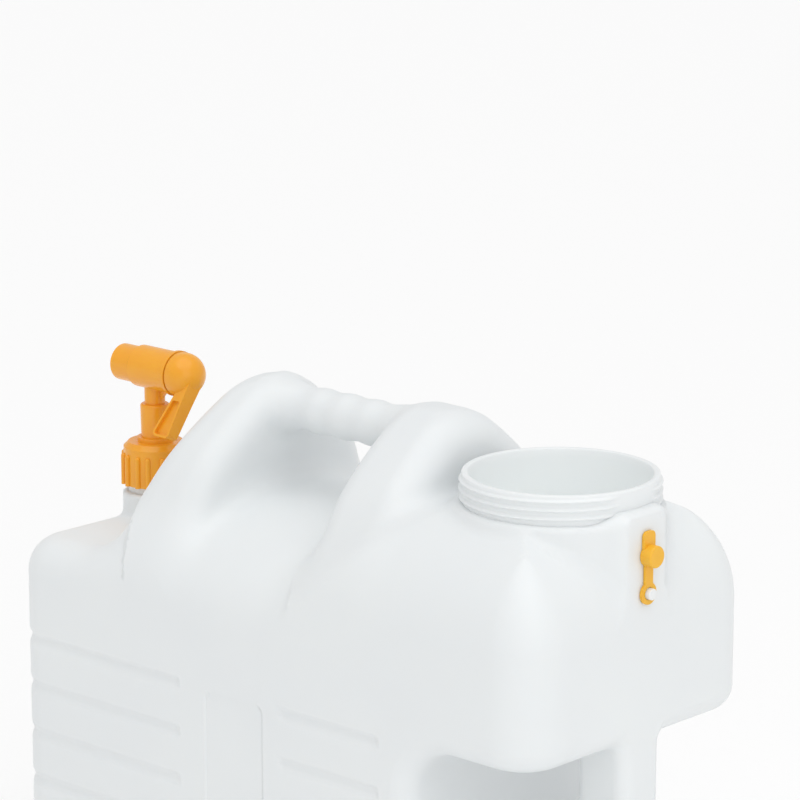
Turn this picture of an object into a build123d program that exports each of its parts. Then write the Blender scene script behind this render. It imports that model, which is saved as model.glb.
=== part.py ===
from build123d import *

from math import cos, radians, sin
import os

# Water carboy with a spigot: a blow-moulded bottle, its tap and its vent stopper.
# Millimetres, +Z up. X runs along the bottle, from the tap's end (-X) to the wide neck's end (+X).
# Y = 0 is the plane where the two halves of the bottle's mould meet. The base stands on Z = 0.

# Bottle, overall
body_length = 428.0
body_width = 200.0
body_corner = 30.0
wall = 2.2
base_round = 14.0
shoulder_height = 288.5
shoulder_round = 22.0

# Head, the high end that carries the wide neck
head_rise = 66.5
head_round = 62.0
head_ramp_start = 6.0

# Handle: two legs and a grip. Leg faces are given where they meet the shoulder, with their lean
handle_rise = 108.5
rear_leg_drop = 2.0
leg_foot_drop = 97.5
leg_foot_round = 45.0
leg_root_depth = 30.0
leg_crown_radius = 48.0
leg_crown_angle = 36.0
leg_edge_round = 18.0
leg_spare = 9.0
rear_leg_from_end = 77.0
rear_leg_back_lean = 0.338
rear_leg_thickness = 56.5
rear_leg_front_lean = 0.208
front_leg_to_neck = 60.0
front_leg_front_lean = -0.07
front_leg_thickness = 64.7
front_leg_back_lean = 0.049
saddle_drop = 68.0
saddle_half_height = 60.0
saddle_overlap = 28.0

# Grip of the handle, with finger waves
grip_drop = 18.5
grip_radius = 13.7
grip_wave = 0.55
grip_overlap = 12.0
finger_pitch = 21.1
finger_waves = 5

# Upright second grip, in the end below the head
hand_hole_low = 122.0
hand_hole_clearance = 104.0
hand_hole_depth = 92.0
hand_hole_round = 28.0
hand_hole_edge_round = 10.0
hand_bar_half_width = 16.5
hand_bar_depth = 38.0
hand_bar_round = 8.0

# Wide neck, with the flat pad that carries the vent
wide_neck_to_end = 64.0
wide_neck_rise = 20.0
wide_neck_radius = 56.8
wide_neck_bore = 52.9
wide_neck_collar = 3.6
wide_neck_collar_rise = 2.5
wide_neck_root = 55.0
neck_pad_half_width = 18.0
neck_pad_root = 70.0
neck_pad_rise = 6.0
neck_pad_depth = 20.0
thread_pitch = 5.0
thread_height = 1.6
thread_root_width = 3.0
thread_crest_width = 1.2
thread_below_rim = 4.0
thread_turns = 3
thread_gap_angle = 13.0

# Small neck, under the tap
tap_neck_rise = 42.5
tap_neck_radius = 17.3
tap_neck_bore = 14.6
tap_neck_collar = 3.7
tap_neck_collar_rise = 15.5
tap_neck_root = 18.5
tap_thread_height = 0.9
tap_thread_width = 1.8
tap_thread_pitch = 5.0
tap_thread_below_rim = 4.5
tap_thread_turns = 3

# Grooves around the sides, and the flat sight strip
groove_pitch = 30.5
groove_count = 6
groove_width = 9.0
groove_depth = 1.6
groove_rear_gap = 21.0
groove_front_gap = 11.0
groove_hole_gap = 21.0
strip_from_hole = 138.5
strip_width = 49.0
strip_bottom = 46.0
strip_depth = 0.8
strip_corner = 6.0

# Tap nut and its gasket
gasket_thickness = 2.0
nut_ceiling = 2.4
nut_height = 27.0
nut_wall = 1.7
nut_top_chamfer = 3.0
nut_thread_clearance = 0.3
nut_ribs = 8
nut_rib_pair_angle = 19.5
nut_rib_radius = 1.7
nut_rib_reach = 2.0
nut_rib_drop = 7.0

# Tap body, a single moulding. Places along the barrel are from the stem's axis
barrel_rise = 46.4
barrel_wall = 3.15
barrel_rear = -11.2
barrel_step = 1.8
barrel_front = 22.4
barrel_bore = 10.1
barrel_bore_end = -13.0
barrel_lip = 1.15
barrel_lip_length = 2.4
spout_length = 17.0
spout_wall = 2.9
spout_bore = 8.7
stem_radius = 6.5
stem_bore = 4.6
stem_length = 9.05
collar_top_radius = 9.3
collar_round = 1.5
collar_foot_radius = 8.9
flange_radius = 11.3
flange_height = 2.8
foot_radius = 8.4
foot_clearance = 0.1
foot_barb = 2.0
foot_barb_height = 5.0
foot_length = 6.5
gusset_reach = 13.0
gusset_drop = 7.5
gusset_thickness = 2.4
gusset_sink = 1.5

# Tap plug, turning in the barrel
plug_clearance = 0.08
plug_end_gap = 0.4
plug_bore = 6.4
plug_bore_past_dome = 5.0
plug_bore_round = 5.0
plug_port_radius = 4.4
dome_gap = 0.9
dome_rim = 3.2
dome_radius = 13.9
seal_section = 0.9
seal_groove_width = 2.2
seal_from_port = 8.6
snap_x = 16.5
snap_height = 0.5
snap_width = 1.6
snap_clearance = 0.35

# Lever of the plug. Along the barrel, places are from the dome's centre
lever_angle = 24.5
lever_length = 41.6
lever_inner_root = 3.1
lever_inner_tip = -8.6
lever_outer_root = 12.4
lever_outer_knee = 10.0
lever_outer_tip = 6.2
lever_knee_reach = 17.6
lever_root_reach = 4.0
lever_neck_reach = 11.9
lever_tip_round = 3.0
lever_root_thickness = 11.6
lever_tip_thickness = 8.4
lever_pocket_depth = 2.4
lever_pocket_rim = 1.5
lever_pocket_start = 17.5
lever_pocket_round = 1.2

# Vent stopper, on the pad below the wide neck
vent_drop = 17.5
vent_hole_radius = 4.0
vent_shank_clearance = 0.06
vent_shank_bore = 2.6
vent_shank_length = 5.2
vent_cap_radius = 6.45
vent_cap_height = 7.5
vent_cap_round = 1.2
strap_thickness = 1.7
strap_gap = 0.3
strap_width = 6.6
strap_length = 22.2
tab_half_width = 4.9
tab_length = 14.3
tab_round = 3.4
peg_radius = 3.35
peg_reach = 5.1
peg_round = 0.6
peg_ring_clearance = 0.3
peg_ring_width = 2.75

# Worked out from the sizes above
half_length = body_length / 2
half_width = body_width / 2
end_x = half_length
beyond = 20.0
head_height = shoulder_height + head_rise
handle_height = shoulder_height + handle_rise
rear_leg_height = handle_height - rear_leg_drop
grip_height = handle_height - grip_drop
saddle_ridge_height = handle_height - saddle_drop
wide_neck_x = half_length - wide_neck_to_end
wide_neck_rim = head_height + wide_neck_rise
wide_neck_collar_top = head_height + wide_neck_collar_rise
wide_neck_collar_low = head_height - wide_neck_root
rear_leg_x = rear_leg_from_end - half_length
rear_leg_front_x = rear_leg_x + rear_leg_thickness
front_leg_x = wide_neck_x - front_leg_to_neck
front_leg_back_x = front_leg_x - front_leg_thickness
head_start_x = front_leg_back_x + head_ramp_start
hand_hole_high = hand_hole_low + hand_hole_clearance
hand_hole_x = half_length - hand_hole_depth
strip_x = hand_hole_x - strip_from_hole
strip_top = hand_hole_high
groove_top = hand_hole_high - 0.5
groove_rear_end_x = strip_x - strip_width / 2 - groove_rear_gap
groove_front_start_x = strip_x + strip_width / 2 + groove_front_gap
groove_front_end_x = hand_hole_x - groove_hole_gap
spout_end = barrel_rear - spout_length
tap_x = -half_length - spout_end
tap_neck_rim = shoulder_height + tap_neck_rise
tap_neck_collar_top = shoulder_height + tap_neck_collar_rise
tap_neck_low = shoulder_height - tap_neck_root
tap_thread_radius = tap_neck_radius + tap_thread_height
nut_inner_radius = tap_thread_radius + nut_thread_clearance
nut_radius = nut_inner_radius + nut_wall
nut_top = tap_neck_rim + gasket_thickness + nut_ceiling
nut_bottom = nut_top - nut_height
barrel_height = nut_top + barrel_rise
barrel_radius = barrel_bore + barrel_wall
spout_radius = spout_bore + spout_wall
collar_top = barrel_height - barrel_radius - stem_length
dome_x = barrel_front + dome_gap + dome_rim
plug_radius = barrel_bore - plug_clearance
seal_groove_floor = plug_radius - 2 * seal_section
vent_height = head_height - vent_drop
peg_height = vent_height - strap_length


def lower_body(inset):
    """The full-width box up to the shoulder, with every edge rounded."""
    plan = RectangleRounded(body_length - 2 * inset, body_width - 2 * inset, body_corner - inset)
    block = extrude(Pos(0, 0, inset) * plan, shoulder_height - 2 * inset)
    block = fillet(block.faces().sort_by(Axis.Z)[-1].edges(), shoulder_round - inset)
    return fillet(block.faces().sort_by(Axis.Z)[0].edges(), base_round - inset)


def head(inset):
    """The raised end under the wide neck: large round shoulders, and a ramp that starts inside the leg."""
    front = half_length - inset
    top = head_height - inset
    bottom = hand_hole_high - beyond
    size = (front - head_start_x, body_width - 2 * inset, top - bottom)
    block = Pos((head_start_x + front) / 2, 0, (bottom + top) / 2) * Box(*size)
    corners = block.edges().filter_by(Axis.Z).group_by(Axis.X)[-1]
    block = fillet(corners, body_corner - inset)
    rim = [e for e in block.faces().sort_by(Axis.Z)[-1].edges() if e.center().X > head_start_x + 1]
    block = fillet(rim, head_round - inset)
    ramp_foot = handle_height - leg_foot_drop
    above = [
        (head_start_x - beyond, ramp_foot),
        (head_start_x, ramp_foot),
        (front_leg_x, head_height),
        (front_leg_x, head_height + beyond),
        (head_start_x - beyond, head_height + beyond),
    ]
    ramp = Plane.XZ * make_face(Polyline(*above, close=True))
    if inset:
        ramp = offset(ramp, inset)
    return block - extrude(ramp, body_width, both=True)


def saddle(inset):
    """The rounded back of the bottle between the handle's legs."""
    axis_height = saddle_ridge_height - saddle_half_height
    skirt = shoulder_round + shoulder_height - axis_height
    arch = Pos(0, axis_height) * Ellipse(half_width - inset, saddle_half_height - inset)
    sides = Pos(0, axis_height - skirt / 2) * Rectangle(body_width - 2 * inset, skirt)
    section = Plane.YZ * (arch + sides)
    start = rear_leg_front_x - saddle_overlap
    return Pos(start, 0, 0) * extrude(section, front_leg_back_x + saddle_overlap - start)


def leg_section(top, inset):
    """End view of a handle leg: two slopes under a round crown, with feet that run into the sides."""
    turn = radians(leg_crown_angle)
    crown_y = leg_crown_radius * sin(turn)
    crown_z = top - leg_crown_radius * (1 - cos(turn))
    foot = top - leg_foot_drop
    root = foot - leg_root_depth
    lines = Polyline((-half_width, foot), (-half_width, root), (half_width, root), (half_width, foot))
    crown = ThreePointArc((-crown_y, crown_z), (0, top), (crown_y, crown_z))
    right = TangentArc((crown_y, crown_z), (half_width, foot), tangent=(crown % 1))
    left = mirror(right, Plane.YZ)
    face = make_face([*lines.edges(), *crown.edges(), *right.edges(), *left.edges()])
    feet = [v for v in face.vertices() if abs(v.Y - foot) < 0.01]
    face = fillet(feet, leg_foot_round)
    if inset:
        face = offset(face, -inset)
    return Plane.YZ * face


def leg(top, back_x, back_lean, front_x, front_lean, inset):
    """One handle leg: its end view, kept only inside its side view, with rounded edges."""
    low = top - leg_foot_drop - leg_root_depth
    high = top + leg_spare
    corners = [
        (back_x + back_lean * (low - shoulder_height), low),
        (back_x + back_lean * (high - shoulder_height), high),
        (front_x + front_lean * (high - shoulder_height), high),
        (front_x + front_lean * (low - shoulder_height), low),
    ]
    bar = Pos(-half_length, 0, 0) * extrude(leg_section(top, inset), body_length)
    profile = Plane.XZ * make_face(Polyline(*corners, close=True))
    if inset:
        profile = offset(profile, -inset)
    solid = bar & extrude(profile, half_width + beyond, both=True)
    edges = [e for e in solid.edges() if e.geom_type == GeomType.ELLIPSE]
    return fillet(edges, leg_edge_round - inset)


def grip(inset):
    """The handle's bar: a round bar with a wave for each finger."""
    rise = grip_height - shoulder_height
    start = rear_leg_front_x + rear_leg_front_lean * rise
    end = front_leg_back_x + front_leg_back_lean * rise
    first = (start + end - (finger_waves - 1) * finger_pitch) / 2
    points = []
    for step in range(2 * finger_waves - 1):
        wave = grip_wave if step % 2 == 0 else -grip_wave
        points.append((first + step * finger_pitch / 2, grip_radius + wave - inset))
    near = (start - grip_overlap, points[0][1])
    far = (end + grip_overlap, points[-1][1])
    outline = [
        Line((near[0], 0), near).edge(),
        Line(near, points[0]).edge(),
        Spline(*points, tangents=[(1, 0), (1, 0)]).edge(),
        Line(points[-1], far).edge(),
        Line(far, (far[0], 0)).edge(),
        Line((far[0], 0), (near[0], 0)).edge(),
    ]
    face = Plane.XZ * make_face(outline)
    return Pos(0, 0, grip_height) * revolve(face, Axis.X)


def hand_hole(inset):
    """Space behind the second grip, as deep as the hand needs and open to both sides."""
    front = half_length + beyond
    rear = hand_hole_x - inset
    low = hand_hole_low - inset
    high = hand_hole_high + inset
    size = (front - rear, body_width + 2 * beyond, high - low)
    block = Pos((front + rear) / 2, 0, (high + low) / 2) * Box(*size)
    rear_edges = block.edges().filter_by(Axis.Y).group_by(Axis.X)[0]
    return fillet(rear_edges, hand_hole_round + inset)


def body_with_hand_hole(inset):
    """Lower body and head, cut away behind the second grip, with the cut's outer edge rounded."""
    solid = lower_body(inset) + head(inset) - hand_hole(inset)
    low = hand_hole_low - inset - 0.1
    high = hand_hole_high + inset + 0.1
    rim = []
    for edge in solid.edges():
        box = edge.bounding_box()
        inside = box.min.Z > low and box.max.Z < high and box.min.X > hand_hole_x - inset - 0.1
        across = box.size.Y > body_width / 2 and box.max.X < half_length - inset - 0.1
        if inside and not across:
            rim.append(edge)
    return fillet(rim, hand_hole_edge_round - inset)


def hand_bar(inset):
    """The second grip, an upright bar flush with the end of the bottle."""
    front = half_length - inset
    rear = half_length - hand_bar_depth + inset
    low = hand_hole_low - beyond
    high = hand_hole_high + beyond
    size = (front - rear, 2 * (hand_bar_half_width - inset), high - low)
    block = Pos((front + rear) / 2, 0, (high + low) / 2) * Box(*size)
    return fillet(block.edges().filter_by(Axis.Z), hand_bar_round - inset)


def wide_neck(inset):
    """Collar and pad at the foot of the wide neck, without the neck's own wall."""
    top = wide_neck_collar_top - inset
    low = wide_neck_collar_low
    radius = wide_neck_radius + wide_neck_collar - inset
    collar = Pos(wide_neck_x, 0, 0) * upright(radius, low, top)
    pad_top = top if inset else head_height + neck_pad_rise
    pad_low = head_height - neck_pad_root
    front = end_x - inset
    rear = end_x - neck_pad_depth
    size = (front - rear, 2 * (neck_pad_half_width - inset), pad_top - pad_low)
    pad = Pos((rear + front) / 2, 0, (pad_low + pad_top) / 2) * Box(*size)
    return collar + pad


def tap_neck(inset):
    """Collar at the foot of the small neck."""
    radius = tap_neck_radius + tap_neck_collar - inset
    return Pos(tap_x, 0, 0) * upright(radius, tap_neck_low, tap_neck_collar_top - inset)


def groove_slots(spread):
    """Side view of the grooves, wider by spread, as bars across the whole bottle."""
    width = groove_width + 2 * spread
    slots = []
    for index in range(groove_count):
        height = groove_top - index * groove_pitch
        rear = -half_length - beyond
        rear_length = groove_rear_end_x + spread - rear
        rear_slot = Pos(rear + rear_length / 2, height) * SlotOverall(rear_length, width)
        front_length = groove_front_end_x - groove_front_start_x + 2 * spread
        front_x = (groove_front_end_x + groove_front_start_x) / 2
        front_slot = Pos(front_x, height) * SlotOverall(front_length, width)
        for slot in (rear_slot, front_slot):
            slots.append(extrude(Plane.XZ * slot, half_width + beyond, both=True))
    return slots


def outside_of(depth):
    """Everything outside the body's plan once that is drawn in by depth."""
    around = Box(
        body_length + 4 * beyond,
        body_width + 4 * beyond,
        shoulder_height,
        align=(Align.CENTER, Align.CENTER, Align.MIN),
    )
    plan = RectangleRounded(body_length - 2 * depth, body_width - 2 * depth, body_corner - depth)
    return around - extrude(plan, shoulder_height)


def grooves(spread):
    """Cutters for the grooves; a spread keeps the wall's thickness behind them."""
    ring = outside_of(groove_depth + spread)
    return [slot & ring for slot in groove_slots(spread)]


def strips(spread):
    """Cutters for the sight strip on both sides."""
    height = strip_top - strip_bottom + 2 * spread
    face = Pos(strip_x, (strip_top + strip_bottom) / 2) * RectangleRounded(
        strip_width + 2 * spread, height, strip_corner + spread
    )
    bar = extrude(Plane.XZ * face, half_width + beyond, both=True)
    return bar & outside_of(strip_depth + spread)


def form(inset):
    """The bottle's outer form, drawn in by inset on every side."""
    solid = body_with_hand_hole(inset) + saddle(inset)
    solid += leg(
        rear_leg_height, rear_leg_x, rear_leg_back_lean, rear_leg_front_x, rear_leg_front_lean, inset
    )
    solid += leg(
        handle_height, front_leg_back_x, front_leg_back_lean, front_leg_x, front_leg_front_lean, inset
    )
    solid += grip(inset)
    solid += wide_neck(inset)
    solid += tap_neck(inset)
    solid += hand_bar(inset)
    solid -= grooves(inset)
    solid -= strips(inset)
    return solid


def ridge(radius, reach, root_width, crest_width, arc, start):
    """A thread ridge over part of a turn, centred on Z = 0; a negative reach points inwards."""
    sink = 0.5 if reach > 0 else -0.5
    section = Polyline(
        (radius - sink, -root_width / 2),
        (radius, -root_width / 2),
        (radius + reach, -crest_width / 2),
        (radius + reach, crest_width / 2),
        (radius, root_width / 2),
        (radius - sink, root_width / 2),
        close=True,
    )
    return Rot(0, 0, start) * revolve(Plane.XZ * make_face(section), Axis.Z, arc)


def upright(radius, bottom, top):
    """A cylinder along Z between two heights."""
    return Pos(0, 0, bottom) * Cylinder(radius, top - bottom, align=(Align.CENTER, Align.CENTER, Align.MIN))


def level(radius, start, end):
    """A cylinder along X between two places, around the barrel's axis at the tap's place."""
    rod = Cylinder(radius, end - start, align=(Align.CENTER, Align.CENTER, Align.MIN))
    return Pos(tap_x + start, 0, barrel_height) * Rot(0, 90, 0) * rod


def turned(points):
    """A solid turned about the barrel's axis, from pairs of place along X and radius."""
    face = make_face(Polyline(*points, close=True))
    return Pos(tap_x, 0, barrel_height) * revolve(Plane.XZ * face, Axis.X)


def make_bottle():
    solid = form(0)
    neck = Pos(wide_neck_x, 0, 0)
    solid += neck * upright(wide_neck_radius, wide_neck_collar_low, wide_neck_rim)
    arc = 180 - 2 * thread_gap_angle
    for turn in range(thread_turns):
        height = wide_neck_rim - thread_below_rim - turn * thread_pitch
        for start in (thread_gap_angle, 180 + thread_gap_angle):
            piece = ridge(
                wide_neck_radius, thread_height, thread_root_width, thread_crest_width, arc, start
            )
            solid += Pos(wide_neck_x, 0, height) * piece
    tap_place = Pos(tap_x, 0, 0)
    solid += tap_place * upright(tap_neck_radius, tap_neck_low, tap_neck_rim)
    for turn in range(tap_thread_turns):
        height = tap_neck_rim - tap_thread_below_rim - turn * tap_thread_pitch
        piece = ridge(tap_neck_radius, tap_thread_height, tap_thread_width, tap_thread_width / 2, 360, 0)
        solid += Pos(tap_x, 0, height) * piece
    peg = Rot(0, 90, 0) * Cylinder(peg_radius, peg_reach + wall, align=(Align.CENTER, Align.CENTER, Align.MIN))
    peg = chamfer(peg.faces().sort_by(Axis.X)[-1].edges(), peg_round)
    solid += Pos(end_x - wall, 0, peg_height) * peg
    solid -= form(wall)
    solid -= neck * upright(wide_neck_bore, wide_neck_collar_low, wide_neck_rim)
    solid -= tap_place * upright(tap_neck_bore, tap_neck_low, tap_neck_rim)
    hole = Rot(0, 90, 0) * Cylinder(vent_hole_radius, 4 * wall)
    solid -= Pos(end_x, 0, vent_height) * hole
    return solid


def make_nut():
    shell = upright(nut_radius, nut_bottom, nut_top)
    shell = chamfer(shell.faces().sort_by(Axis.Z)[-1].edges(), nut_top_chamfer)
    rib_x = nut_radius + nut_rib_reach - nut_rib_radius
    rib_top = nut_top - nut_rib_drop - nut_rib_radius
    rib = Pos(rib_x, 0, 0) * upright(nut_rib_radius, nut_bottom, rib_top)
    rib += Pos(rib_x, 0, rib_top) * Sphere(nut_rib_radius)
    for index in range(nut_ribs):
        centre = (index + 0.5) * 360 / nut_ribs
        for side in (-0.5, 0.5):
            shell += Rot(0, 0, centre + side * nut_rib_pair_angle) * rib
    shell -= upright(nut_inner_radius, nut_bottom, nut_top - nut_ceiling)
    for turn in range(tap_thread_turns - 1):
        height = tap_neck_rim - tap_thread_below_rim - (turn + 0.5) * tap_thread_pitch
        piece = ridge(nut_inner_radius, -tap_thread_height, tap_thread_width, tap_thread_width / 2, 360, 0)
        shell += Pos(0, 0, height) * piece
    shell -= upright(foot_radius + foot_clearance, nut_top - 2 * nut_ceiling, nut_top)
    return Pos(tap_x, 0, 0) * shell


def make_gasket():
    top = tap_neck_rim + gasket_thickness
    ring = upright(tap_thread_radius, tap_neck_rim, top)
    ring -= upright(foot_radius + foot_clearance, tap_neck_rim, top)
    return Pos(tap_x, 0, 0) * ring


def make_tap_body():
    solid = turned(
        [
            (spout_end, 0),
            (spout_end, spout_radius),
            (barrel_rear - barrel_step, spout_radius),
            (barrel_rear, barrel_radius),
            (barrel_front - barrel_lip_length, barrel_radius),
            (barrel_front - barrel_lip_length, barrel_radius + barrel_lip),
            (barrel_front, barrel_radius + barrel_lip),
            (barrel_front, 0),
        ]
    )
    foot_end = tap_neck_rim - foot_length
    post = [
        (0, foot_end),
        (foot_radius, foot_end),
        (foot_radius, tap_neck_rim - foot_barb_height),
        (foot_radius + foot_barb, tap_neck_rim),
        (foot_radius, tap_neck_rim),
        (foot_radius, nut_top),
        (flange_radius, nut_top),
        (flange_radius, nut_top + flange_height),
        (collar_foot_radius, nut_top + flange_height),
        (collar_top_radius, collar_top),
        (0, collar_top),
    ]
    face = make_face(Polyline(*post, close=True))
    face = fillet(face.vertices().group_by(Axis.Y)[-1].sort_by(Axis.X)[-1], collar_round)
    turned_post = revolve(Plane.XZ * face, Axis.Z)
    solid += Pos(tap_x, 0, 0) * turned_post
    solid += Pos(tap_x, 0, 0) * upright(stem_radius, collar_top - 1, barrel_height)
    gusset_top = barrel_height - barrel_radius + gusset_sink
    gusset = Polyline(
        (0, gusset_top),
        (gusset_reach, gusset_top),
        (stem_radius - 0.5, gusset_top - gusset_drop),
        (0, gusset_top - gusset_drop),
        close=True,
    )
    web = extrude(Plane.XZ * make_face(gusset), gusset_thickness / 2, both=True)
    solid += Pos(tap_x, 0, 0) * web
    solid -= level(spout_bore, spout_end, barrel_bore_end)
    solid -= level(barrel_bore, barrel_bore_end, barrel_front)
    groove_half = snap_width / 2 + snap_clearance
    solid -= level(barrel_bore + snap_height + snap_clearance, snap_x - groove_half, snap_x + groove_half)
    solid -= Pos(tap_x, 0, 0) * upright(stem_bore, foot_end, barrel_height)
    return solid


def tapered_slab(root, tip):
    """A slab across the lever, root thick at the barrel's axis and tip thick at the lever's end."""
    outline = Polyline(
        (-root / 2, 0), (root / 2, 0), (tip / 2, -lever_length), (-tip / 2, -lever_length), close=True
    )
    return extrude(Plane.YZ * make_face(outline), 2 * dome_radius, both=True)


def lever():
    """The lever, straight down from the barrel's axis, with a pocket in each face."""
    outline = Polyline(
        (lever_inner_root, -lever_root_reach),
        (lever_inner_root, -lever_neck_reach),
        (lever_inner_tip, -lever_length),
        (lever_outer_tip, -lever_length),
        (lever_outer_knee, -lever_knee_reach),
        (lever_outer_root, -lever_root_reach),
        close=True,
    )
    side = make_face(outline)
    side = fillet(side.vertices().group_by(Axis.Y)[0], lever_tip_round)
    solid = extrude(Plane.XZ * side, lever_root_thickness, both=True)
    solid &= tapered_slab(lever_root_thickness, lever_tip_thickness)
    web = tapered_slab(
        lever_root_thickness - 2 * lever_pocket_depth, lever_tip_thickness - 2 * lever_pocket_depth
    )
    reach = lever_length - lever_pocket_start
    below = Pos(0, -lever_pocket_start - reach / 2) * Rectangle(4 * dome_radius, reach)
    pocket_face = offset(side, -lever_pocket_rim) & below
    pocket_face = fillet(pocket_face.vertices().group_by(Axis.Y)[-1], lever_pocket_round)
    pocket = extrude(Plane.XZ * pocket_face, lever_root_thickness, both=True)
    return solid - (pocket - web)


def make_plug():
    core_end = barrel_bore_end + plug_end_gap
    solid = level(plug_radius, core_end, dome_x)
    solid += level(dome_radius, barrel_front + dome_gap, dome_x)
    dome_place = Pos(tap_x + dome_x, 0, barrel_height)
    solid += (dome_place * Sphere(dome_radius)) & level(2 * dome_radius, dome_x, dome_x + 2 * dome_radius)
    solid += turned(
        [
            (snap_x - snap_width / 2, plug_radius - snap_height),
            (snap_x - snap_width / 2, plug_radius),
            (snap_x, plug_radius + snap_height),
            (snap_x + snap_width / 2, plug_radius + snap_height),
            (snap_x + snap_width / 2, plug_radius - snap_height),
        ]
    )
    arm = dome_place * Rot(-lever_angle, 0, 0) * lever()
    solid += arm - level(plug_radius, core_end, dome_x)
    hollow = level(plug_bore, core_end, dome_x + plug_bore_past_dome)
    solid -= fillet(hollow.faces().sort_by(Axis.X)[-1].edges(), plug_bore_round)
    half = seal_groove_width / 2
    for place in (-seal_from_port, seal_from_port):
        ring = level(2 * plug_radius, place - half, place + half)
        solid -= ring - level(seal_groove_floor, place - half, place + half)
    port = Rot(90, 0, 0) * upright(plug_port_radius, 0, 2 * plug_radius)
    solid -= Pos(tap_x, 0, barrel_height) * port
    return solid


def make_seal(place):
    ring = Rot(0, 90, 0) * Torus(seal_groove_floor + seal_section, seal_section)
    return Pos(tap_x + place, 0, barrel_height) * ring


def make_vent():
    """Cap, shank, pull tab, strap and ring of the stopper, with the strap's back at its gap from the pad."""
    turn = Rot(0, 90, 0)
    cap = turn * upright(vent_cap_radius, 0, vent_cap_height)
    cap = fillet(cap.faces().sort_by(Axis.X)[-1].edges(), vent_cap_round)
    shank = turn * upright(vent_hole_radius - vent_shank_clearance, -vent_shank_length, vent_cap_height / 2)
    tab_face = Pos(0, tab_length / 2) * Rectangle(2 * tab_half_width, tab_length)
    tab_face = fillet(tab_face.vertices().group_by(Axis.Y)[-1], tab_round)
    strap_face = Pos(0, -strap_length / 2) * Rectangle(strap_width, strap_length)
    ring_hole = peg_radius + peg_ring_clearance
    ring_face = Pos(0, -strap_length) * Circle(ring_hole + peg_ring_width)
    plate = tab_face + strap_face + ring_face - Pos(0, -strap_length) * Circle(ring_hole)
    solid = cap + shank + extrude(Plane.YZ * plate, strap_thickness)
    solid -= turn * upright(vent_shank_bore, -vent_shank_length, strap_thickness)
    return Pos(end_x + strap_gap, 0, vent_height) * solid


# The bottle is one blown piece. It is handed over as the two halves of its mould, which meet at Y = 0, so
# that the water space and both grips stay open in each half.
bottle = make_bottle()
parts = {
    "bottle_near": split(bottle, Plane.XZ, keep=Keep.TOP),
    "bottle_far": split(bottle, Plane.XZ, keep=Keep.BOTTOM),
    "spigot_nut": make_nut(),
    "nut_gasket": make_gasket(),
    "spigot_body": make_tap_body(),
    "spigot_plug": make_plug(),
    "plug_seal_inner": make_seal(-seal_from_port),
    "plug_seal_outer": make_seal(seal_from_port),
    "vent_stopper": make_vent(),
}

os.makedirs("parts", exist_ok=True)
for name, solid in parts.items():
    export_step(solid, f"parts/{name}.step")
    box = solid.bounding_box()
    print(name, len(solid.solids()), solid.is_valid, round(solid.volume / 1000, 2), "cm3", box)
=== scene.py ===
# %% [markdown]
# A water carboy with a tap, dressed for the camera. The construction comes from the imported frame: the tap,
# its nut, its plug and the vent stopper keep their solids and get real finishes. The bottle is blown
# polyethylene, all soft blends and shallow swells, so its visible skin is made again here from the same
# sizes.

# %% Load the frame
import bpy
import numpy as np
from math import cos, pi, radians, sin
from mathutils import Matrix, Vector


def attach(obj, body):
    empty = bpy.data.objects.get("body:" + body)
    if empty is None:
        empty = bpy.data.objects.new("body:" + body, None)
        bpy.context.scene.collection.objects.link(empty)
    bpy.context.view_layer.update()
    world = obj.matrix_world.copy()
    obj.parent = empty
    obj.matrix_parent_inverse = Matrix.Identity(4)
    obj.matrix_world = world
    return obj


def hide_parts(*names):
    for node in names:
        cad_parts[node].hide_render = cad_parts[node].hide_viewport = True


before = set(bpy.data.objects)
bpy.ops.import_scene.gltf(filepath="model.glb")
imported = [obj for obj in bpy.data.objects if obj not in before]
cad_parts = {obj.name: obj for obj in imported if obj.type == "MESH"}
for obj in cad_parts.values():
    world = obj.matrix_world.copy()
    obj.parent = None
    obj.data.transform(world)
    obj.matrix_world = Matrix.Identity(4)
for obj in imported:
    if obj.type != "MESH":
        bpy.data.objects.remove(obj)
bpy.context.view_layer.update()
MM = 0.001

# %% [markdown]
# Colours are picked as sRGB hex values, the way a swatch book gives them. Blender's shaders want linear
# light, so one function turns a hex value to linear.

# %% Colours
def linear(hex_value):
    """sRGB hex, such as "#e49e3a", as a linear RGBA tuple."""
    channels = [int(hex_value[i:i + 2], 16) / 255 for i in (1, 3, 5)]
    return tuple(c / 12.92 if c <= 0.04045 else ((c + 0.055) / 1.055) ** 2.4 for c in channels) + (1.0,)


# %% [markdown]
# Every finish below is a small network of nodes. One function adds a node, sets its values and links its
# inputs, so that each material reads as a list of what it does.

# %% Node helper
def add(tree, kind, values=None, links=None, **settings):
    """Adds a node: settings are its properties, values fill sockets, links join sockets to other nodes."""
    node = tree.nodes.new(kind)
    for name, value in settings.items():
        setattr(node, name, value)
    for socket, value in (values or {}).items():
        node.inputs[socket].default_value = value
    for socket, (source, output) in (links or {}).items():
        tree.links.new(source.outputs[output], node.inputs[socket])
    return node


def new_material(name):
    """An empty node material, its tree and its output node."""
    material = bpy.data.materials.new(name)
    material.use_nodes = True
    tree = material.node_tree
    tree.nodes.clear()
    return material, tree, add(tree, "ShaderNodeOutputMaterial")


def per_metre(size_mm):
    """Scale of a texture whose features are size_mm across, for object coordinates in metres."""
    return 1 / (size_mm * MM)


# %% [markdown]
# The bottle is natural high-density polyethylene, blow moulded. The resin is milky: light goes a few
# millimetres in and comes out again, so shadows are soft and edges glow. The wall cools against a blasted
# mould, which leaves a satin surface, and it shrinks a little unevenly, which leaves long shallow waves that
# bend reflections. Seen through the open neck, the inside is lit by the daylight that comes through the wall.
# A small emission on the inner skin stands in for that light, because the wall itself is drawn opaque.

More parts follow.
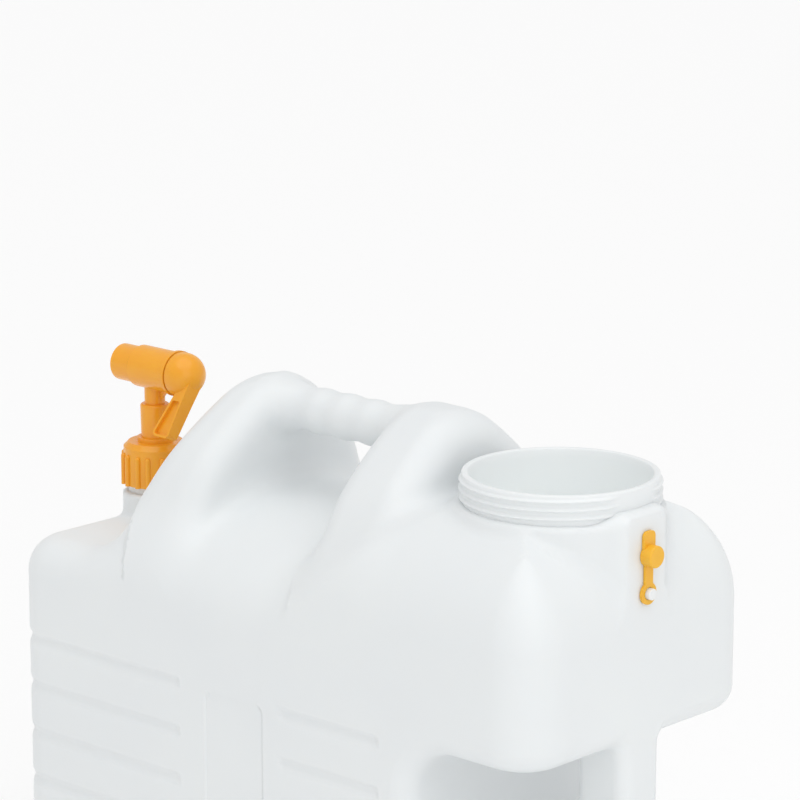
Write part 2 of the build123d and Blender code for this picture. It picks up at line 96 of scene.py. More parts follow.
# %% Natural polyethylene
def natural_polyethylene(name, glow):
    material, tree, output = new_material(name)
    place = add(tree, "ShaderNodeTexCoord")
    cloud = add(
        tree, "ShaderNodeTexNoise", {"Scale": per_metre(90), "Detail": 3.0, "Roughness": 0.5},
        {"Vector": (place, "Object")},
    )
    tint = add(tree, "ShaderNodeMix", data_type="RGBA")
    tint.inputs["A"].default_value = linear("#e3e6e8")
    tint.inputs["B"].default_value = linear("#e8ebeb")
    tree.links.new(cloud.outputs["Fac"], tint.inputs["Factor"])
    satin = add(
        tree, "ShaderNodeTexNoise", {"Scale": per_metre(40), "Detail": 4.0},
        {"Vector": (place, "Object")},
    )
    gloss = add(
        tree, "ShaderNodeMapRange", {"To Min": 0.36, "To Max": 0.46}, {"Value": (satin, "Fac")},
    )
    waves = add(
        tree, "ShaderNodeTexNoise", {"Scale": per_metre(35), "Detail": 1.0},
        {"Vector": (place, "Object")},
    )
    wave_bump = add(
        tree, "ShaderNodeBump", {"Strength": 0.35, "Distance": 0.6 * MM}, {"Height": (waves, "Fac")},
    )
    grain = add(
        tree, "ShaderNodeTexNoise", {"Scale": per_metre(1.6), "Detail": 2.0},
        {"Vector": (place, "Object")},
    )
    grain_bump = add(
        tree, "ShaderNodeBump", {"Strength": 0.12, "Distance": 0.05 * MM},
        {"Height": (grain, "Fac"), "Normal": (wave_bump, "Normal")},
    )
    shader = add(
        tree, "ShaderNodeBsdfPrincipled",
        {
            "IOR": 1.51,
            "Subsurface Weight": 0.35,
            "Subsurface Radius": (1.0, 0.95, 0.9),
            "Subsurface Scale": 6 * MM,
            "Emission Color": linear("#f6f6f2"),
            "Emission Strength": glow,
        },
        {
            "Base Color": (tint, "Result"),
            "Roughness": (gloss, "Result"),
            "Normal": (grain_bump, "Normal"),
        },
    )
    tree.links.new(shader.outputs["BSDF"], output.inputs["Surface"])
    return material


# %% [markdown]
# The tap is polypropylene, coloured orange in the mass and injection moulded in a polished tool. It is
# glossier than the bottle, and its edges let a little light through. The stopper is a softer amber
# polyethylene, and the hidden seals are rubber: they share the same recipe with other colours and gloss.

# %% Moulded plastics
def moulded_plastic(name, colour, shade, roughness, depth_mm, weight):
    """An injection-moulded plastic or rubber: even colour, faint flow clouds and a fine skin."""
    material, tree, output = new_material(name)
    place = add(tree, "ShaderNodeTexCoord")
    flow = add(
        tree, "ShaderNodeTexNoise", {"Scale": per_metre(14), "Detail": 2.0},
        {"Vector": (place, "Object")},
    )
    tint = add(tree, "ShaderNodeMix", data_type="RGBA")
    tint.inputs["A"].default_value = linear(shade)
    tint.inputs["B"].default_value = linear(colour)
    tree.links.new(flow.outputs["Fac"], tint.inputs["Factor"])
    gloss = add(
        tree, "ShaderNodeMapRange", {"To Min": roughness - 0.05, "To Max": roughness + 0.05},
        {"Value": (flow, "Fac")},
    )
    skin = add(
        tree, "ShaderNodeTexNoise", {"Scale": per_metre(0.9), "Detail": 2.0},
        {"Vector": (place, "Object")},
    )
    bump = add(
        tree, "ShaderNodeBump", {"Strength": 0.1, "Distance": 0.03 * MM}, {"Height": (skin, "Fac")},
    )
    shader = add(
        tree, "ShaderNodeBsdfPrincipled",
        {
            "IOR": 1.49,
            "Subsurface Weight": weight,
            "Subsurface Radius": (1.0, 0.6, 0.25),
            "Subsurface Scale": depth_mm * MM,
        },
        {
            "Base Color": (tint, "Result"),
            "Roughness": (gloss, "Result"),
            "Normal": (bump, "Normal"),
        },
    )
    tree.links.new(shader.outputs["BSDF"], output.inputs["Surface"])
    return material


polyethylene = natural_polyethylene("natural_polyethylene_blow_moulded", 0.0)
lit_polyethylene = natural_polyethylene("natural_polyethylene_inside", 0.32)
orange = moulded_plastic("orange_polypropylene_moulded", "#f5ad2c", "#f0a225", 0.24, 1.5, 0.15)
amber = moulded_plastic("amber_soft_polyethylene_moulded", "#f2bb35", "#ecb02c", 0.42, 1.5, 0.2)
nitrile = moulded_plastic("black_nitrile_rubber", "#1b1b1b", "#141414", 0.5, 0.2, 0.0)
silicone = moulded_plastic("grey_silicone_rubber", "#8b8b88", "#80807d", 0.55, 0.5, 0.0)
print("finishes:", [m.name for m in (polyethylene, lit_polyethylene, orange, amber, nitrile, silicone)])

# %% [markdown]
# A blown bottle has no sharp inside corner: where a leg grows out of the deck, the plastic sweeps round. Such
# a skin is easier to say as a distance than to model face by face. Each form is a function that is negative
# inside and positive outside, in millimetres, and forms are joined and cut with rounded joints.

# %% Rounded joins and cuts
def cut_round(a, b, radius):
    """What is in both a and b, with the outer edge between them rounded."""
    u = np.maximum(a + radius, 0)
    v = np.maximum(b + radius, 0)
    return np.hypot(u, v) + np.minimum(np.maximum(a + radius, b + radius), 0) - radius


def join_soft(a, b, width):
    """What is in a or b, with the inner corner between them filled over that width."""
    near = np.maximum(width - np.abs(a - b), 0) / width
    return np.minimum(a, b) - near * near * width / 4


def join_inside(a, b, width, limit):
    """A soft join that never swells past the limit, and meets it as softly as it swells."""
    joined = join_soft(a, b, width)
    return cut_round(joined, limit, np.maximum(np.minimum(a, b) - joined, 0))


def ease(value, start, end):
    """0 before start, 1 after end, and smooth between them."""
    t = np.clip((value - start) / (end - start), 0, 1)
    return t * t * (3 - 2 * t)


# %% [markdown]
# The sizes are the ones that the solids are built from, in millimetres. X runs from the tap's end to the wide
# neck's end, Y = 0 is the mould's parting plane and the base stands on Z = 0.

# %% Sizes of the bottle
HALF_LENGTH, HALF_WIDTH, CORNER = 214.0, 100.0, 30.0
WALL = 2.2
DECK, DECK_ROUND, BASE_ROUND = 288.5, 22.0, 14.0
HEAD_TOP, HEAD_ROUND, HEAD_RAMP = 355.0, 62.0, ((31.3, 299.5), (90.0, 355.0))
SADDLE_RIDGE, SADDLE_HALF_HEIGHT, SADDLE_START, SADDLE_END = 329.0, 60.0, -108.5, 53.3
LEG_CROWN, LEG_CROWN_ANGLE, LEG_FOOT_DROP, LEG_FOOT_ROUND, LEG_ROOT = 48.0, 36.0, 97.5, 45.0, 262.0
REAR_LEG_TOP, FRONT_LEG_TOP, LEG_EDGE = 395.0, 397.0, 18.0
REAR_LEG_BACK = ((-146.0, 262.0), (-98.0, 404.0))
REAR_LEG_FRONT = ((-86.0, 262.0), (-56.5, 404.0))
FRONT_LEG_BACK = ((24.0, 262.0), (31.0, 404.0))
FRONT_LEG_FRONT = ((92.0, 262.0), (82.0, 404.0))
GRIP_HEIGHT, GRIP_RADIUS, GRIP_WAVE, FINGER_PITCH, FINGER_CREST = 378.5, 13.7, 0.55, 21.1, 5.1
GRIP_START, GRIP_END = -74.0, 55.0
HOLE_LOW, HOLE_HIGH, HOLE_REAR, HOLE_ROUND = 122.0, 226.0, 122.0, 28.0
BAR_HALF_WIDTH, BAR_DEPTH, BAR_ROUND = 16.5, 38.0, 8.0
NECK_X, NECK_RIM, NECK_RADIUS, NECK_BORE = 150.0, 375.0, 56.8, 52.9
COLLAR_RADIUS, COLLAR_TOP = 60.4, 357.5
PAD_HALF_WIDTH, PAD_LOW, PAD_TOP = 18.0, 285.0, 361.0
TAP_X, TAP_COLLAR, TAP_COLLAR_TOP = -185.8, 21.0, 304.0
TAP_NECK_RADIUS, TAP_NECK_BORE, TAP_NECK_RIM = 17.3, 14.6, 331.0
GROOVE_TOP, GROOVE_PITCH, GROOVE_COUNT, GROOVE_WIDTH, GROOVE_DEPTH = 225.5, 30.5, 6, 9.0, 1.6
GROOVE_REAR_END, GROOVE_FRONT = -62.0, (19.0, 101.0)
STRIP_X, STRIP_WIDTH, STRIP_LOW, STRIP_HIGH, STRIP_DEPTH, STRIP_CORNER = -16.5, 49.0, 46.0, 226.0, 0.8, 6.0

# %% [markdown]
# The joins belong to the skin alone: the solids meet more sharply, and a blown wall sweeps round. A join's
# width is the stretch over which it fills the corner. The hand hole's edge is rounder here than on the solids
# too. Every form runs on below the surface that it stands on, so that no join shows its lower end.

# %% Joins and small edges
HEAD_JOIN, GRIP_JOIN, COLLAR_JOIN, TAP_COLLAR_JOIN, BAR_JOIN, PAD_JOIN = 10.0, 12.0, 6.0, 5.0, 8.0, 16.0
LEG_JOIN, LEG_JOIN_GAIN, LEG_JOIN_GAINS_OVER = 18.0, 14.0, (66.0, 96.0)
HEAD_RAMP_ROUND, HOLE_EDGE = 14.0, 14.0
COLLAR_EDGE, TAP_COLLAR_EDGE, PAD_EDGE, PAD_END_EDGE = 3.0, 2.0, 5.0, 7.0
PAD_LENGTH, BAR_OVERRUN, DEEP_ROOT, TAP_COLLAR_ROOT = 20.0, 15.0, 80.0, 20.0
GROOVE_EASE, STRIP_EASE = 0.5, (-1.2, 0.2)


# %% [markdown]
# The main body is one plan, a rectangle with round corners, pulled up to the deck at the tap's end and to the
# head at the other. The plan is also the outer limit of everything blown in that mould.

# %% Main forms
def side_of(line, x, z):
    """Distance to the right of a line drawn upwards in the side view."""
    (x0, z0), (x1, z1) = line
    length = np.hypot(x1 - x0, z1 - z0)
    return ((x - x0) * (z1 - z0) - (z - z0) * (x1 - x0)) / length


def plan(x, y):
    """Distance from the bottle's outline, seen from above."""
    return cut_round(np.abs(x) - HALF_LENGTH, np.abs(y) - HALF_WIDTH, CORNER)


def deck_and_base(x, y, z):
    return cut_round(cut_round(plan(x, y), z - DECK, DECK_ROUND), -z, BASE_ROUND)


def head(x, y, z):
    body = cut_round(plan(x, y), z - HEAD_TOP, HEAD_ROUND)
    body = cut_round(body, -side_of(HEAD_RAMP, x, z), HEAD_RAMP_ROUND)
    return np.maximum(np.maximum(body, HEAD_RAMP[0][0] - x), DECK - DEEP_ROOT - z)


def saddle(x, y, z):
    """The rounded back between the handle's legs: half an ellipse, seen from the end."""
    never_zero = 1e-6
    height = np.maximum(z - SADDLE_RIDGE + SADDLE_HALF_HEIGHT, 0)
    ring = np.hypot(y / HALF_WIDTH, height / SADDLE_HALF_HEIGHT) + never_zero
    slope = np.hypot(y / HALF_WIDTH**2, height / SADDLE_HALF_HEIGHT**2) / ring + never_zero
    arch = (ring - 1) / slope
    ends = np.maximum(np.maximum(arch, SADDLE_START - x), x - SADDLE_END)
    return np.maximum(ends, DECK - DEEP_ROOT - z)


# %% [markdown]
# Seen from the end, each leg of the handle is a roof with a round crown: an arc over the top, and a wider arc
# tangent to it that runs down to the side. Seen from the side it is a band between two lines.

# %% Handle
def roof(y, z, top):
    """Distance from the leg's outline, seen from the end."""
    turn = radians(LEG_CROWN_ANGLE)
    start = np.array([LEG_CROWN * sin(turn), top - LEG_CROWN * (1 - cos(turn))])
    foot = np.array([HALF_WIDTH, top - LEG_FOOT_DROP])
    inward = np.array([-sin(turn), -cos(turn)])
    chord = foot - start
    radius = chord @ chord / (2 * chord @ inward)
    centre = start + radius * inward
    across = np.abs(y)
    below = z - (top - LEG_CROWN)
    crown = np.hypot(across, below) - LEG_CROWN
    slope = np.hypot(across - centre[0], z - centre[1]) - radius
    outline = np.where(np.arctan2(across, below) < turn, crown, slope)
    return cut_round(outline, across - HALF_WIDTH, LEG_FOOT_ROUND)


def leg(x, y, z, top, back, front):
    body = cut_round(roof(y, z, top), -side_of(back, x, z), LEG_EDGE)
    body = cut_round(body, side_of(front, x, z), LEG_EDGE)
    return np.maximum(body, LEG_ROOT - z)


def grip(x, y, z):
    """The bar of the handle, with a wave for each finger."""
    wave = GRIP_WAVE * np.cos(2 * pi * (x - FINGER_CREST) / FINGER_PITCH)
    bar = np.hypot(y, z - GRIP_HEIGHT) - GRIP_RADIUS - wave
    return np.maximum(np.maximum(bar, GRIP_START - x), x - GRIP_END)


# %% [markdown]
# The end under the wide neck is cut away for the hand, which leaves an upright bar as a second grip. The wide
# neck stands on a round collar, and a flat pad carries the vent.

# %% Second grip, collar and pad
def hole_band(z):
    """Distance above or below the band of heights that the hand hole takes."""
    return np.abs(z - (HOLE_LOW + HOLE_HIGH) / 2) - (HOLE_HIGH - HOLE_LOW) / 2


def hand_hole(x, z):
    return cut_round(hole_band(z), HOLE_REAR - x, HOLE_ROUND)


def hand_bar(x, y, z):
    centre = HALF_LENGTH - BAR_DEPTH / 2
    bar = cut_round(np.abs(x - centre) - BAR_DEPTH / 2, np.abs(y) - BAR_HALF_WIDTH, BAR_ROUND)
    return np.maximum(bar, hole_band(z) - BAR_OVERRUN)


def collar_and_pad(x, y, z):
    collar = cut_round(np.hypot(x - NECK_X, y) - COLLAR_RADIUS, z - COLLAR_TOP, COLLAR_EDGE)
    pad = cut_round(np.abs(y) - PAD_HALF_WIDTH, z - PAD_TOP, PAD_EDGE)
    pad = np.maximum(cut_round(pad, x - HALF_LENGTH, PAD_END_EDGE), HALF_LENGTH - PAD_LENGTH - x)
    return np.maximum(join_soft(collar, pad, PAD_JOIN), PAD_LOW - z)


def tap_collar(x, y, z):
    ring = cut_round(np.hypot(x - TAP_X, y) - TAP_COLLAR, z - TAP_COLLAR_TOP, TAP_COLLAR_EDGE)
    return np.maximum(ring, DECK - TAP_COLLAR_ROOT - z)


# %% [markdown]
# Shallow grooves stiffen the sides, and a flat strip marks where a scale or a label would go. Both are
# pressed into the skin by a millimetre or two, so they are added as a small change of the distance. Along
# their stretch of the bottle no other skin lies at their height, so the depth needs no limit across the
# width.

# %% Grooves and strip
def pressed(x, z):
    """How far the grooves and the strip lie below the skin, in millimetres."""
    half = GROOVE_WIDTH / 2
    start, end = GROOVE_FRONT
    depth = 0
    for index in range(GROOVE_COUNT):
        height = z - (GROOVE_TOP - index * GROOVE_PITCH)
        rear = np.hypot(np.maximum(x - GROOVE_REAR_END + half, 0), height)
        front = np.hypot(np.maximum(np.maximum(start + half - x, x - end + half), 0), height)
        away = np.minimum(rear, front)
        depth = depth + GROOVE_DEPTH * (1 - ease(away, GROOVE_EASE, half + GROOVE_EASE))
    beside = np.abs(x - STRIP_X) - STRIP_WIDTH / 2
    above = np.abs(z - (STRIP_LOW + STRIP_HIGH) / 2) - (STRIP_HIGH - STRIP_LOW) / 2
    edge = cut_round(beside, above, STRIP_CORNER)
    return depth + STRIP_DEPTH * (1 - ease(edge, *STRIP_EASE))


# %% [markdown]
# All the forms together. Where a leg meets the deck the plastic sweeps round, and the sweep widens towards
# the sides, where the leg runs out into the wall in one soft line. The joins of the handle and the head swell
# past neither the bottle's plan nor the top of the legs, so the skin keeps the outline of the solids.

# %% The whole skin as one distance
def bottle(x, y, z):
    limit = plan(x, y)
    low = np.minimum(deck_and_base(x, y, z), saddle(x, y, z))
    low = join_inside(low, head(x, y, z), HEAD_JOIN, limit)
    sweep = LEG_JOIN + LEG_JOIN_GAIN * ease(np.abs(y), *LEG_JOIN_GAINS_OVER)
    body = join_inside(low, leg(x, y, z, REAR_LEG_TOP, REAR_LEG_BACK, REAR_LEG_FRONT), sweep, limit)
    body = join_inside(body, leg(x, y, z, FRONT_LEG_TOP, FRONT_LEG_BACK, FRONT_LEG_FRONT), sweep, limit)
    body = join_inside(body, grip(x, y, z), GRIP_JOIN, z - FRONT_LEG_TOP)
    body = join_soft(body, collar_and_pad(x, y, z), COLLAR_JOIN)
    body = join_soft(body, tap_collar(x, y, z), TAP_COLLAR_JOIN)
    body = cut_round(body, -hand_hole(x, z), HOLE_EDGE)
    body = join_soft(body, hand_bar(x, y, z), BAR_JOIN)
    return np.maximum(body, limit) + pressed(x, z)


# %% [markdown]
# The distance is turned into faces on a grid: one point goes in each cell that the surface crosses, and each
# grid edge that it crosses gets a four-sided face. The points then slide along the slope until they lie on
# the surface, and the slope itself gives the normals, so the shading is as smooth as the real skin.

# %% Grid to faces
SLIDES, LEAST_STEEPNESS = 3, 0.2


def grid_lines(low, high, step, fine_places=(), fine_step=1.0, fine_reach=3.0):
    """Places of the grid's planes along one axis, closer together around the fine places."""
    lines = [low]
    while lines[-1] < high:
        close = any(abs(lines[-1] - place) < fine_reach for place in fine_places)
        lines.append(lines[-1] + (fine_step if close else step))
    return np.array(lines)


def slope_of(field, points, reach=0.2):
    """The field's gradient at each point."""
    slope = np.empty_like(points)
    for axis in range(3):
        shift = np.zeros(3)
        shift[axis] = reach
        slope[:, axis] = (field(*(points + shift).T) - field(*(points - shift).T)) / (2 * reach)
    return slope


def faces_of(field, axes):
    """Points and four-sided faces of the surface where the field is zero, on a grid with these planes."""
    value = field(*np.meshgrid(*axes, indexing="ij"))
    inside = value < 0
    cells = tuple(n - 1 for n in value.shape)
    total = np.zeros((int(np.prod(cells)), 3))
    count = np.zeros(len(total))
    faces = []
    for axis in range(3):
        low = tuple(slice(None, -1) if a == axis else slice(None) for a in range(3))
        high = tuple(slice(1, None) if a == axis else slice(None) for a in range(3))
        index = np.nonzero(inside[low] != inside[high])
        a, b = value[low][index], value[high][index]
        point = np.stack([axes[n][index[n]] for n in range(3)], axis=1)
        step = axes[axis][index[axis] + 1] - axes[axis][index[axis]]
        point[:, axis] += step * a / (a - b)
        around = []
        second, third = (axis + 1) % 3, (axis + 2) % 3
        for back_second, back_third in ((0, 0), (1, 0), (1, 1), (0, 1)):
            cell = [n.copy() for n in index]
            cell[second] -= back_second
            cell[third] -= back_third
            around.append(np.ravel_multi_index(cell, cells))
        face = np.stack(around, axis=1)
        for column in range(4):
            np.add.at(total, face[:, column], point)
            np.add.at(count, face[:, column], 1)
        leaves = inside[low][index]
        face[~leaves] = face[~leaves][:, ::-1]
        faces.append(face)
    used = np.nonzero(count)[0]
    number = np.full(len(total), -1)
    number[used] = np.arange(len(used))
    points = total[used] / count[used, None]
    for _ in range(SLIDES):
        slope = slope_of(field, points)
        steepness = np.maximum((slope**2).sum(axis=1), LEAST_STEEPNESS)
        points = points - (field(*points.T) / steepness)[:, None] * slope
    return points, number[np.concatenate(faces)]


def skin_piece(name, field, axes, openings, flip=False):
    """A mesh object of the field's surface, left open under each neck: (x, radius, lowest height)."""
    points, faces = faces_of(field, axes)
    middle = points[faces].mean(axis=1)
    keep = np.ones(len(faces), bool)
    for x, radius, above in openings:
        keep &= ~((np.hypot(middle[:, 0] - x, middle[:, 1]) < radius) & (middle[:, 2] > above))
    faces = faces[keep]
    if flip:
        faces = faces[:, ::-1]
    used, faces = np.unique(faces, return_inverse=True)
    points = points[used]
    mesh = bpy.data.meshes.new(name)
    mesh.from_pydata((points * MM).tolist(), [], faces.reshape(-1, 4).tolist())
    mesh.polygons.foreach_set("use_smooth", np.ones(len(mesh.polygons), bool))
    normals = slope_of(field, points)
    normals /= np.linalg.norm(normals, axis=1)[:, None]
    mesh.normals_split_custom_set_from_vertices((-normals if flip else normals).tolist())
    piece = bpy.data.objects.new(name, mesh)
    bpy.context.scene.collection.objects.link(piece)
    print(name, "faces", len(mesh.polygons), "from", points.min(axis=0).round(1),
          "to", points.max(axis=0).round(1), "mm")
    return piece


# %% [markdown]
# The outer skin and the inner skin are the same distance at two depths. The inner one shows only through the
# open neck, so its grid is coarser. Both are left open under the necks, whose own walls cover the edges.

# %% Bottle skins
GRID_MARGIN, OUTER_STEP, INNER_STEP = 4.0, 3.0, 5.0
NECK_SINK, NECK_INNER_SINK, TAP_NECK_SINK, TAP_NECK_INNER_SINK = 4.0, 10.0, 3.0, 8.0
OUTER_HOLE, INNER_HOLE, TAP_OUTER_HOLE = NECK_BORE + 2.0, NECK_BORE + 4.0, 16.0
strip_sides = (STRIP_X - STRIP_WIDTH / 2, STRIP_X + STRIP_WIDTH / 2)
outer_axes = (
    grid_lines(-HALF_LENGTH - GRID_MARGIN, HALF_LENGTH + GRID_MARGIN, OUTER_STEP, strip_sides),
    grid_lines(-HALF_WIDTH - GRID_MARGIN, HALF_WIDTH + GRID_MARGIN, OUTER_STEP),
    grid_lines(-GRID_MARGIN, FRONT_LEG_TOP + GRID_MARGIN, OUTER_STEP, (STRIP_LOW, STRIP_HIGH)),
)
inner_axes = tuple(grid_lines(lines[0], lines[-1], INNER_STEP) for lines in outer_axes)
outer_skin = skin_piece(
    "bottle_outer_skin", bottle, outer_axes,
    [(NECK_X, OUTER_HOLE, COLLAR_TOP - NECK_SINK), (TAP_X, TAP_OUTER_HOLE, TAP_COLLAR_TOP - TAP_NECK_SINK)],
)
inner_skin = skin_piece(
    "bottle_inner_skin", lambda x, y, z: bottle(x, y, z) + WALL, inner_axes,
    [
        (NECK_X, INNER_HOLE, COLLAR_TOP - NECK_INNER_SINK),
        (TAP_X, TAP_NECK_BORE, TAP_COLLAR_TOP - TAP_NECK_INNER_SINK),
    ],
    flip=True,
)


# %% [markdown]
# Both necks are turned forms: a profile swept round an upright axis. The wide neck's screw thread is a ridge
# that climbs one pitch a turn and fades out at the parting plane, where a mould in two halves can't release
# it.

# %% Turned pieces
def turned(name, profile, centre, steps, along="Z", swell=None):
    """A mesh object turned round an axis: profile is (radius, height) in mm, swell adds to the radius."""
    angles = np.linspace(0, 2 * pi, steps, endpoint=False)
    radius, height = np.array(profile).T
    ring_angle, ring_radius = np.meshgrid(angles, radius, indexing="ij")
    ring_height = np.broadcast_to(height, ring_radius.shape)
    if swell:
        ring_radius = ring_radius + swell(ring_angle, ring_radius, ring_height)
    across, up = ring_radius * np.cos(ring_angle), ring_radius * np.sin(ring_angle)
    spin = {"Z": (across, up, ring_height), "X": (ring_height, across, up)}[along]
    points = np.stack(spin, axis=-1).reshape(-1, 3) + np.array(centre)
    rows = len(radius)
    faces = []
    for i in range(steps):
        j = (i + 1) % steps
        for k in range(rows - 1):
            faces.append((i * rows + k, j * rows + k, j * rows + k + 1, i * rows + k + 1))
    mesh = bpy.data.meshes.new(name)
    mesh.from_pydata((points * MM).tolist(), [], faces)
    mesh.polygons.foreach_set("use_smooth", np.ones(len(mesh.polygons), bool))
    piece = bpy.data.objects.new(name, mesh)
    bpy.context.scene.collection.objects.link(piece)
    print(name, "faces", len(faces))
    return piece


THREAD_PITCH, THREAD_HEIGHT, THREAD_WIDTH, THREAD_TOP, THREAD_TURNS = 5.0, 1.6, 3.2, 371.0, 3
THREAD_GAP, THREAD_FADE = radians(13), radians(10)
NEAR_OUTSIDE, THROAT_DEPTH, THROAT_ROWS = 0.1, 8.0, 6


def wide_thread(angle, radius, height):
    """Height of the wide neck's thread above its wall."""
    half_turn = np.mod(angle, pi)
    fade = ease(half_turn, THREAD_GAP, THREAD_GAP + THREAD_FADE)
    fade = fade * (1 - ease(half_turn, pi - THREAD_GAP - THREAD_FADE, pi - THREAD_GAP))
    climb = THREAD_PITCH * (half_turn - pi / 2) / (2 * pi)
    bump = 0
    for turn in range(THREAD_TURNS):
        away = np.abs(height - (THREAD_TOP - turn * THREAD_PITCH) - climb)
        bump = bump + np.cos(np.clip(away / THREAD_WIDTH, 0, 0.5) * pi) ** 2
    return THREAD_HEIGHT * bump * fade * (radius > NECK_RADIUS - NEAR_OUTSIDE)


def neck_profile(bore, radius, low, rim, lip, step):
    """Up the bore, over a rounded rim and down the outside."""
    arc = [radians(a) for a in range(0, 181, 30)]
    middle, half = (bore + radius) / 2, (radius - bore) / 2
    inside = [(bore, h) for h in np.linspace(low - THROAT_DEPTH, rim - lip, THROAT_ROWS)]
    over = [(middle - half * cos(a), rim - lip + lip * sin(a)) for a in arc[1:-1]]
    outside = [(radius, h) for h in np.arange(rim - lip, low - step, -step)]
    return inside + over + outside


wide_neck = turned(
    "wide_neck",
    neck_profile(NECK_BORE, NECK_RADIUS, COLLAR_TOP - NECK_SINK, NECK_RIM, lip=0.8, step=0.4),
    centre=(NECK_X, 0, 0), steps=240, swell=wide_thread,
)

# %% [markdown]
# The small neck has its ridges too, but plain ones that go straight round, because the nut hides them. The
# peg that holds the stopper's strap is the same kind of form, turned about a level axis.

# %% Small neck and peg
RIDGE_HEIGHT, RIDGE_PITCH, RIDGE_TOP, RIDGE_SHARPNESS = 0.9, 5.0, 326.5, 8
RIDGES_FROM, RIDGES_TO = 314.0, 328.0


def tap_ridges(angle, radius, height):
    """Height of the small neck's ridges above its wall."""
    outside = (radius > TAP_NECK_RADIUS - NEAR_OUTSIDE) & (height > RIDGES_FROM) & (height < RIDGES_TO)
    return RIDGE_HEIGHT * outside * np.cos(pi * (height - RIDGE_TOP) / RIDGE_PITCH) ** RIDGE_SHARPNESS


tap_neck = turned(
    "tap_neck",
    neck_profile(
        TAP_NECK_BORE, TAP_NECK_RADIUS, TAP_COLLAR_TOP - TAP_NECK_SINK, TAP_NECK_RIM, lip=0.6, step=0.6,
    ),
    centre=(TAP_X, 0, 0), steps=96, swell=tap_ridges,
)

PEG_HEIGHT, PEG_RADIUS, PEG_REACH, PEG_ROUND, PEG_ROOT, PEG_AXIS_GAP = 315.3, 3.35, 5.1, 0.6, 1.0, 0.01
peg_tip = [(PEG_RADIUS - PEG_ROUND * (1 - cos(a)), PEG_REACH - PEG_ROUND * (1 - sin(a)))
           for a in np.linspace(0, pi / 2, 5)]
peg_end = (PEG_AXIS_GAP, PEG_REACH)
peg = turned(
    "stopper_peg", [(PEG_RADIUS, -PEG_ROOT), (PEG_RADIUS, PEG_REACH / 2)] + peg_tip + [peg_end],
    centre=(HALF_LENGTH, 0, PEG_HEIGHT), steps=40, along="X",
)

# %% [markdown]
# The pieces made here stand for the bottle's two solid halves, and ride on the same body. The others keep
# their solids and only get a small rounding on their edges, because no moulded edge is perfectly sharp and a
# lit edge shows it.

# %% Dress the frame
for piece in (outer_skin, inner_skin, wide_neck, tap_neck, peg):
    piece.data.materials.append(lit_polyethylene if piece is inner_skin else polyethylene)
    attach(piece, "bottle")
    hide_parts("bottle_near", "bottle_far")

MOULDED_EDGE, ROUNDED_FROM = 0.35, 40.0
finishes = {
    "spigot_nut": orange,
    "spigot_body": orange,
    "spigot_plug": orange,
    "vent_stopper": amber,
    "nut_gasket": silicone,
    "plug_seal_inner": nitrile,
    "plug_seal_outer": nitrile,
}
for name, material in finishes.items():
    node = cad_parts[name]
    node.data.materials.clear()
    node.data.materials.append(material)
    edge = node.modifiers.new("moulded_edges", "BEVEL")
    edge.width = MOULDED_EDGE * MM
    edge.segments = 2
    edge.limit_method = "ANGLE"
    edge.angle_limit = radians(ROUNDED_FROM)
    edge.harden_normals = True
    print(name, "faces", len(node.data.polygons))

# %% [markdown]
# The studio: a white floor that runs far back, an even white room, a broad soft light from above and a weak
# key light from the end of the wide neck. The white bottle stands out from the white ground by its shadows.

# %% Floor and lights
def floor_material():
    material, tree, output = new_material("pale_studio_paper")
    place = add(tree, "ShaderNodeTexCoord")
    fibre = add(
        tree, "ShaderNodeTexNoise", {"Scale": per_metre(3), "Detail": 3.0}, {"Vector": (place, "Object")},
    )
    bump = add(tree, "ShaderNodeBump", {"Strength": 0.05, "Distance": 0.1 * MM}, {"Height": (fibre, "Fac")})
    shader = add(
        tree, "ShaderNodeBsdfPrincipled", {"Base Color": linear("#fbfbfb"), "Roughness": 0.9},
        {"Normal": (bump, "Normal")},
    )
    tree.links.new(shader.outputs["BSDF"], output.inputs["Surface"])
    return material


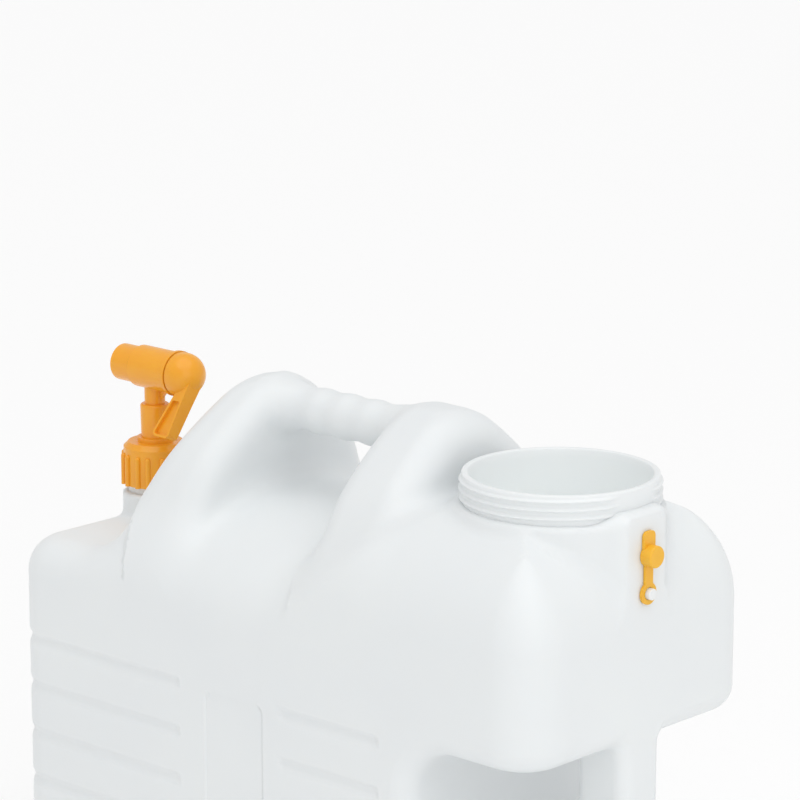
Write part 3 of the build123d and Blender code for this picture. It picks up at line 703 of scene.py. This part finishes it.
bpy.ops.mesh.primitive_plane_add(size=40, location=(0, 0, 0))
floor = bpy.context.object
floor.name = "studio_floor"
floor.data.materials.append(floor_material())

world = bpy.data.worlds.new("studio")
bpy.context.scene.world = world
world.use_nodes = True
sky = world.node_tree.nodes["Background"]
sky.inputs["Color"].default_value = linear("#ffffff")
sky.inputs["Strength"].default_value = 0.7


def point_at(thing, place, target):
    """Puts a lamp or camera at a place in metres and turns it to a target."""
    thing.location = place
    thing.rotation_euler = (Vector(target) - Vector(place)).to_track_quat("-Z", "Y").to_euler()
    bpy.context.scene.collection.objects.link(thing)
    return thing


LIT_MIDDLE, CEILING_PLACE, KEY_PLACE = (0.05, 0, 0.25), (0.7, -0.5, 3), (1.2, -0.7, 0.8)
ceiling = bpy.data.lights.new("soft_ceiling", "SUN")
ceiling.angle = radians(70)
ceiling.energy = 1.0
point_at(bpy.data.objects.new("soft_ceiling", ceiling), CEILING_PLACE, LIT_MIDDLE)
key = bpy.data.lights.new("key_right", "AREA")
key.shape = "SQUARE"
key.size = 1.1
key.energy = 2.4
point_at(bpy.data.objects.new("key_right", key), KEY_PLACE, LIT_MIDDLE)
print("lights:", ceiling.name, ceiling.energy, key.name, key.energy)

# %% [markdown]
# The camera stands where the photograph was taken from: 43 degrees round from the bottle's side towards its
# end and 13.5 degrees above the level, with a long lens, so that the verticals hardly converge.

# %% Camera
CAMERA_TURN, CAMERA_PITCH, FOCAL_PIXELS, PICTURE = 43.0, 13.5, 3800.0, 800
CAMERA_PLACE = Vector((1.5104, -1.5931, 0.9187))
turn, pitch = radians(CAMERA_TURN), radians(CAMERA_PITCH)
ahead = Vector((-sin(turn) * cos(pitch), cos(turn) * cos(pitch), -sin(pitch)))
lens = bpy.data.cameras.new("photo_camera")
lens.sensor_width = 36.0
lens.lens = FOCAL_PIXELS / PICTURE * lens.sensor_width
lens.clip_end = 100
camera = bpy.data.objects.new("photo_camera", lens)
bpy.context.scene.camera = point_at(camera, CAMERA_PLACE, CAMERA_PLACE + ahead)
bpy.context.scene.view_settings.view_transform = "Standard"
print("camera looks along", [round(v, 3) for v in ahead])
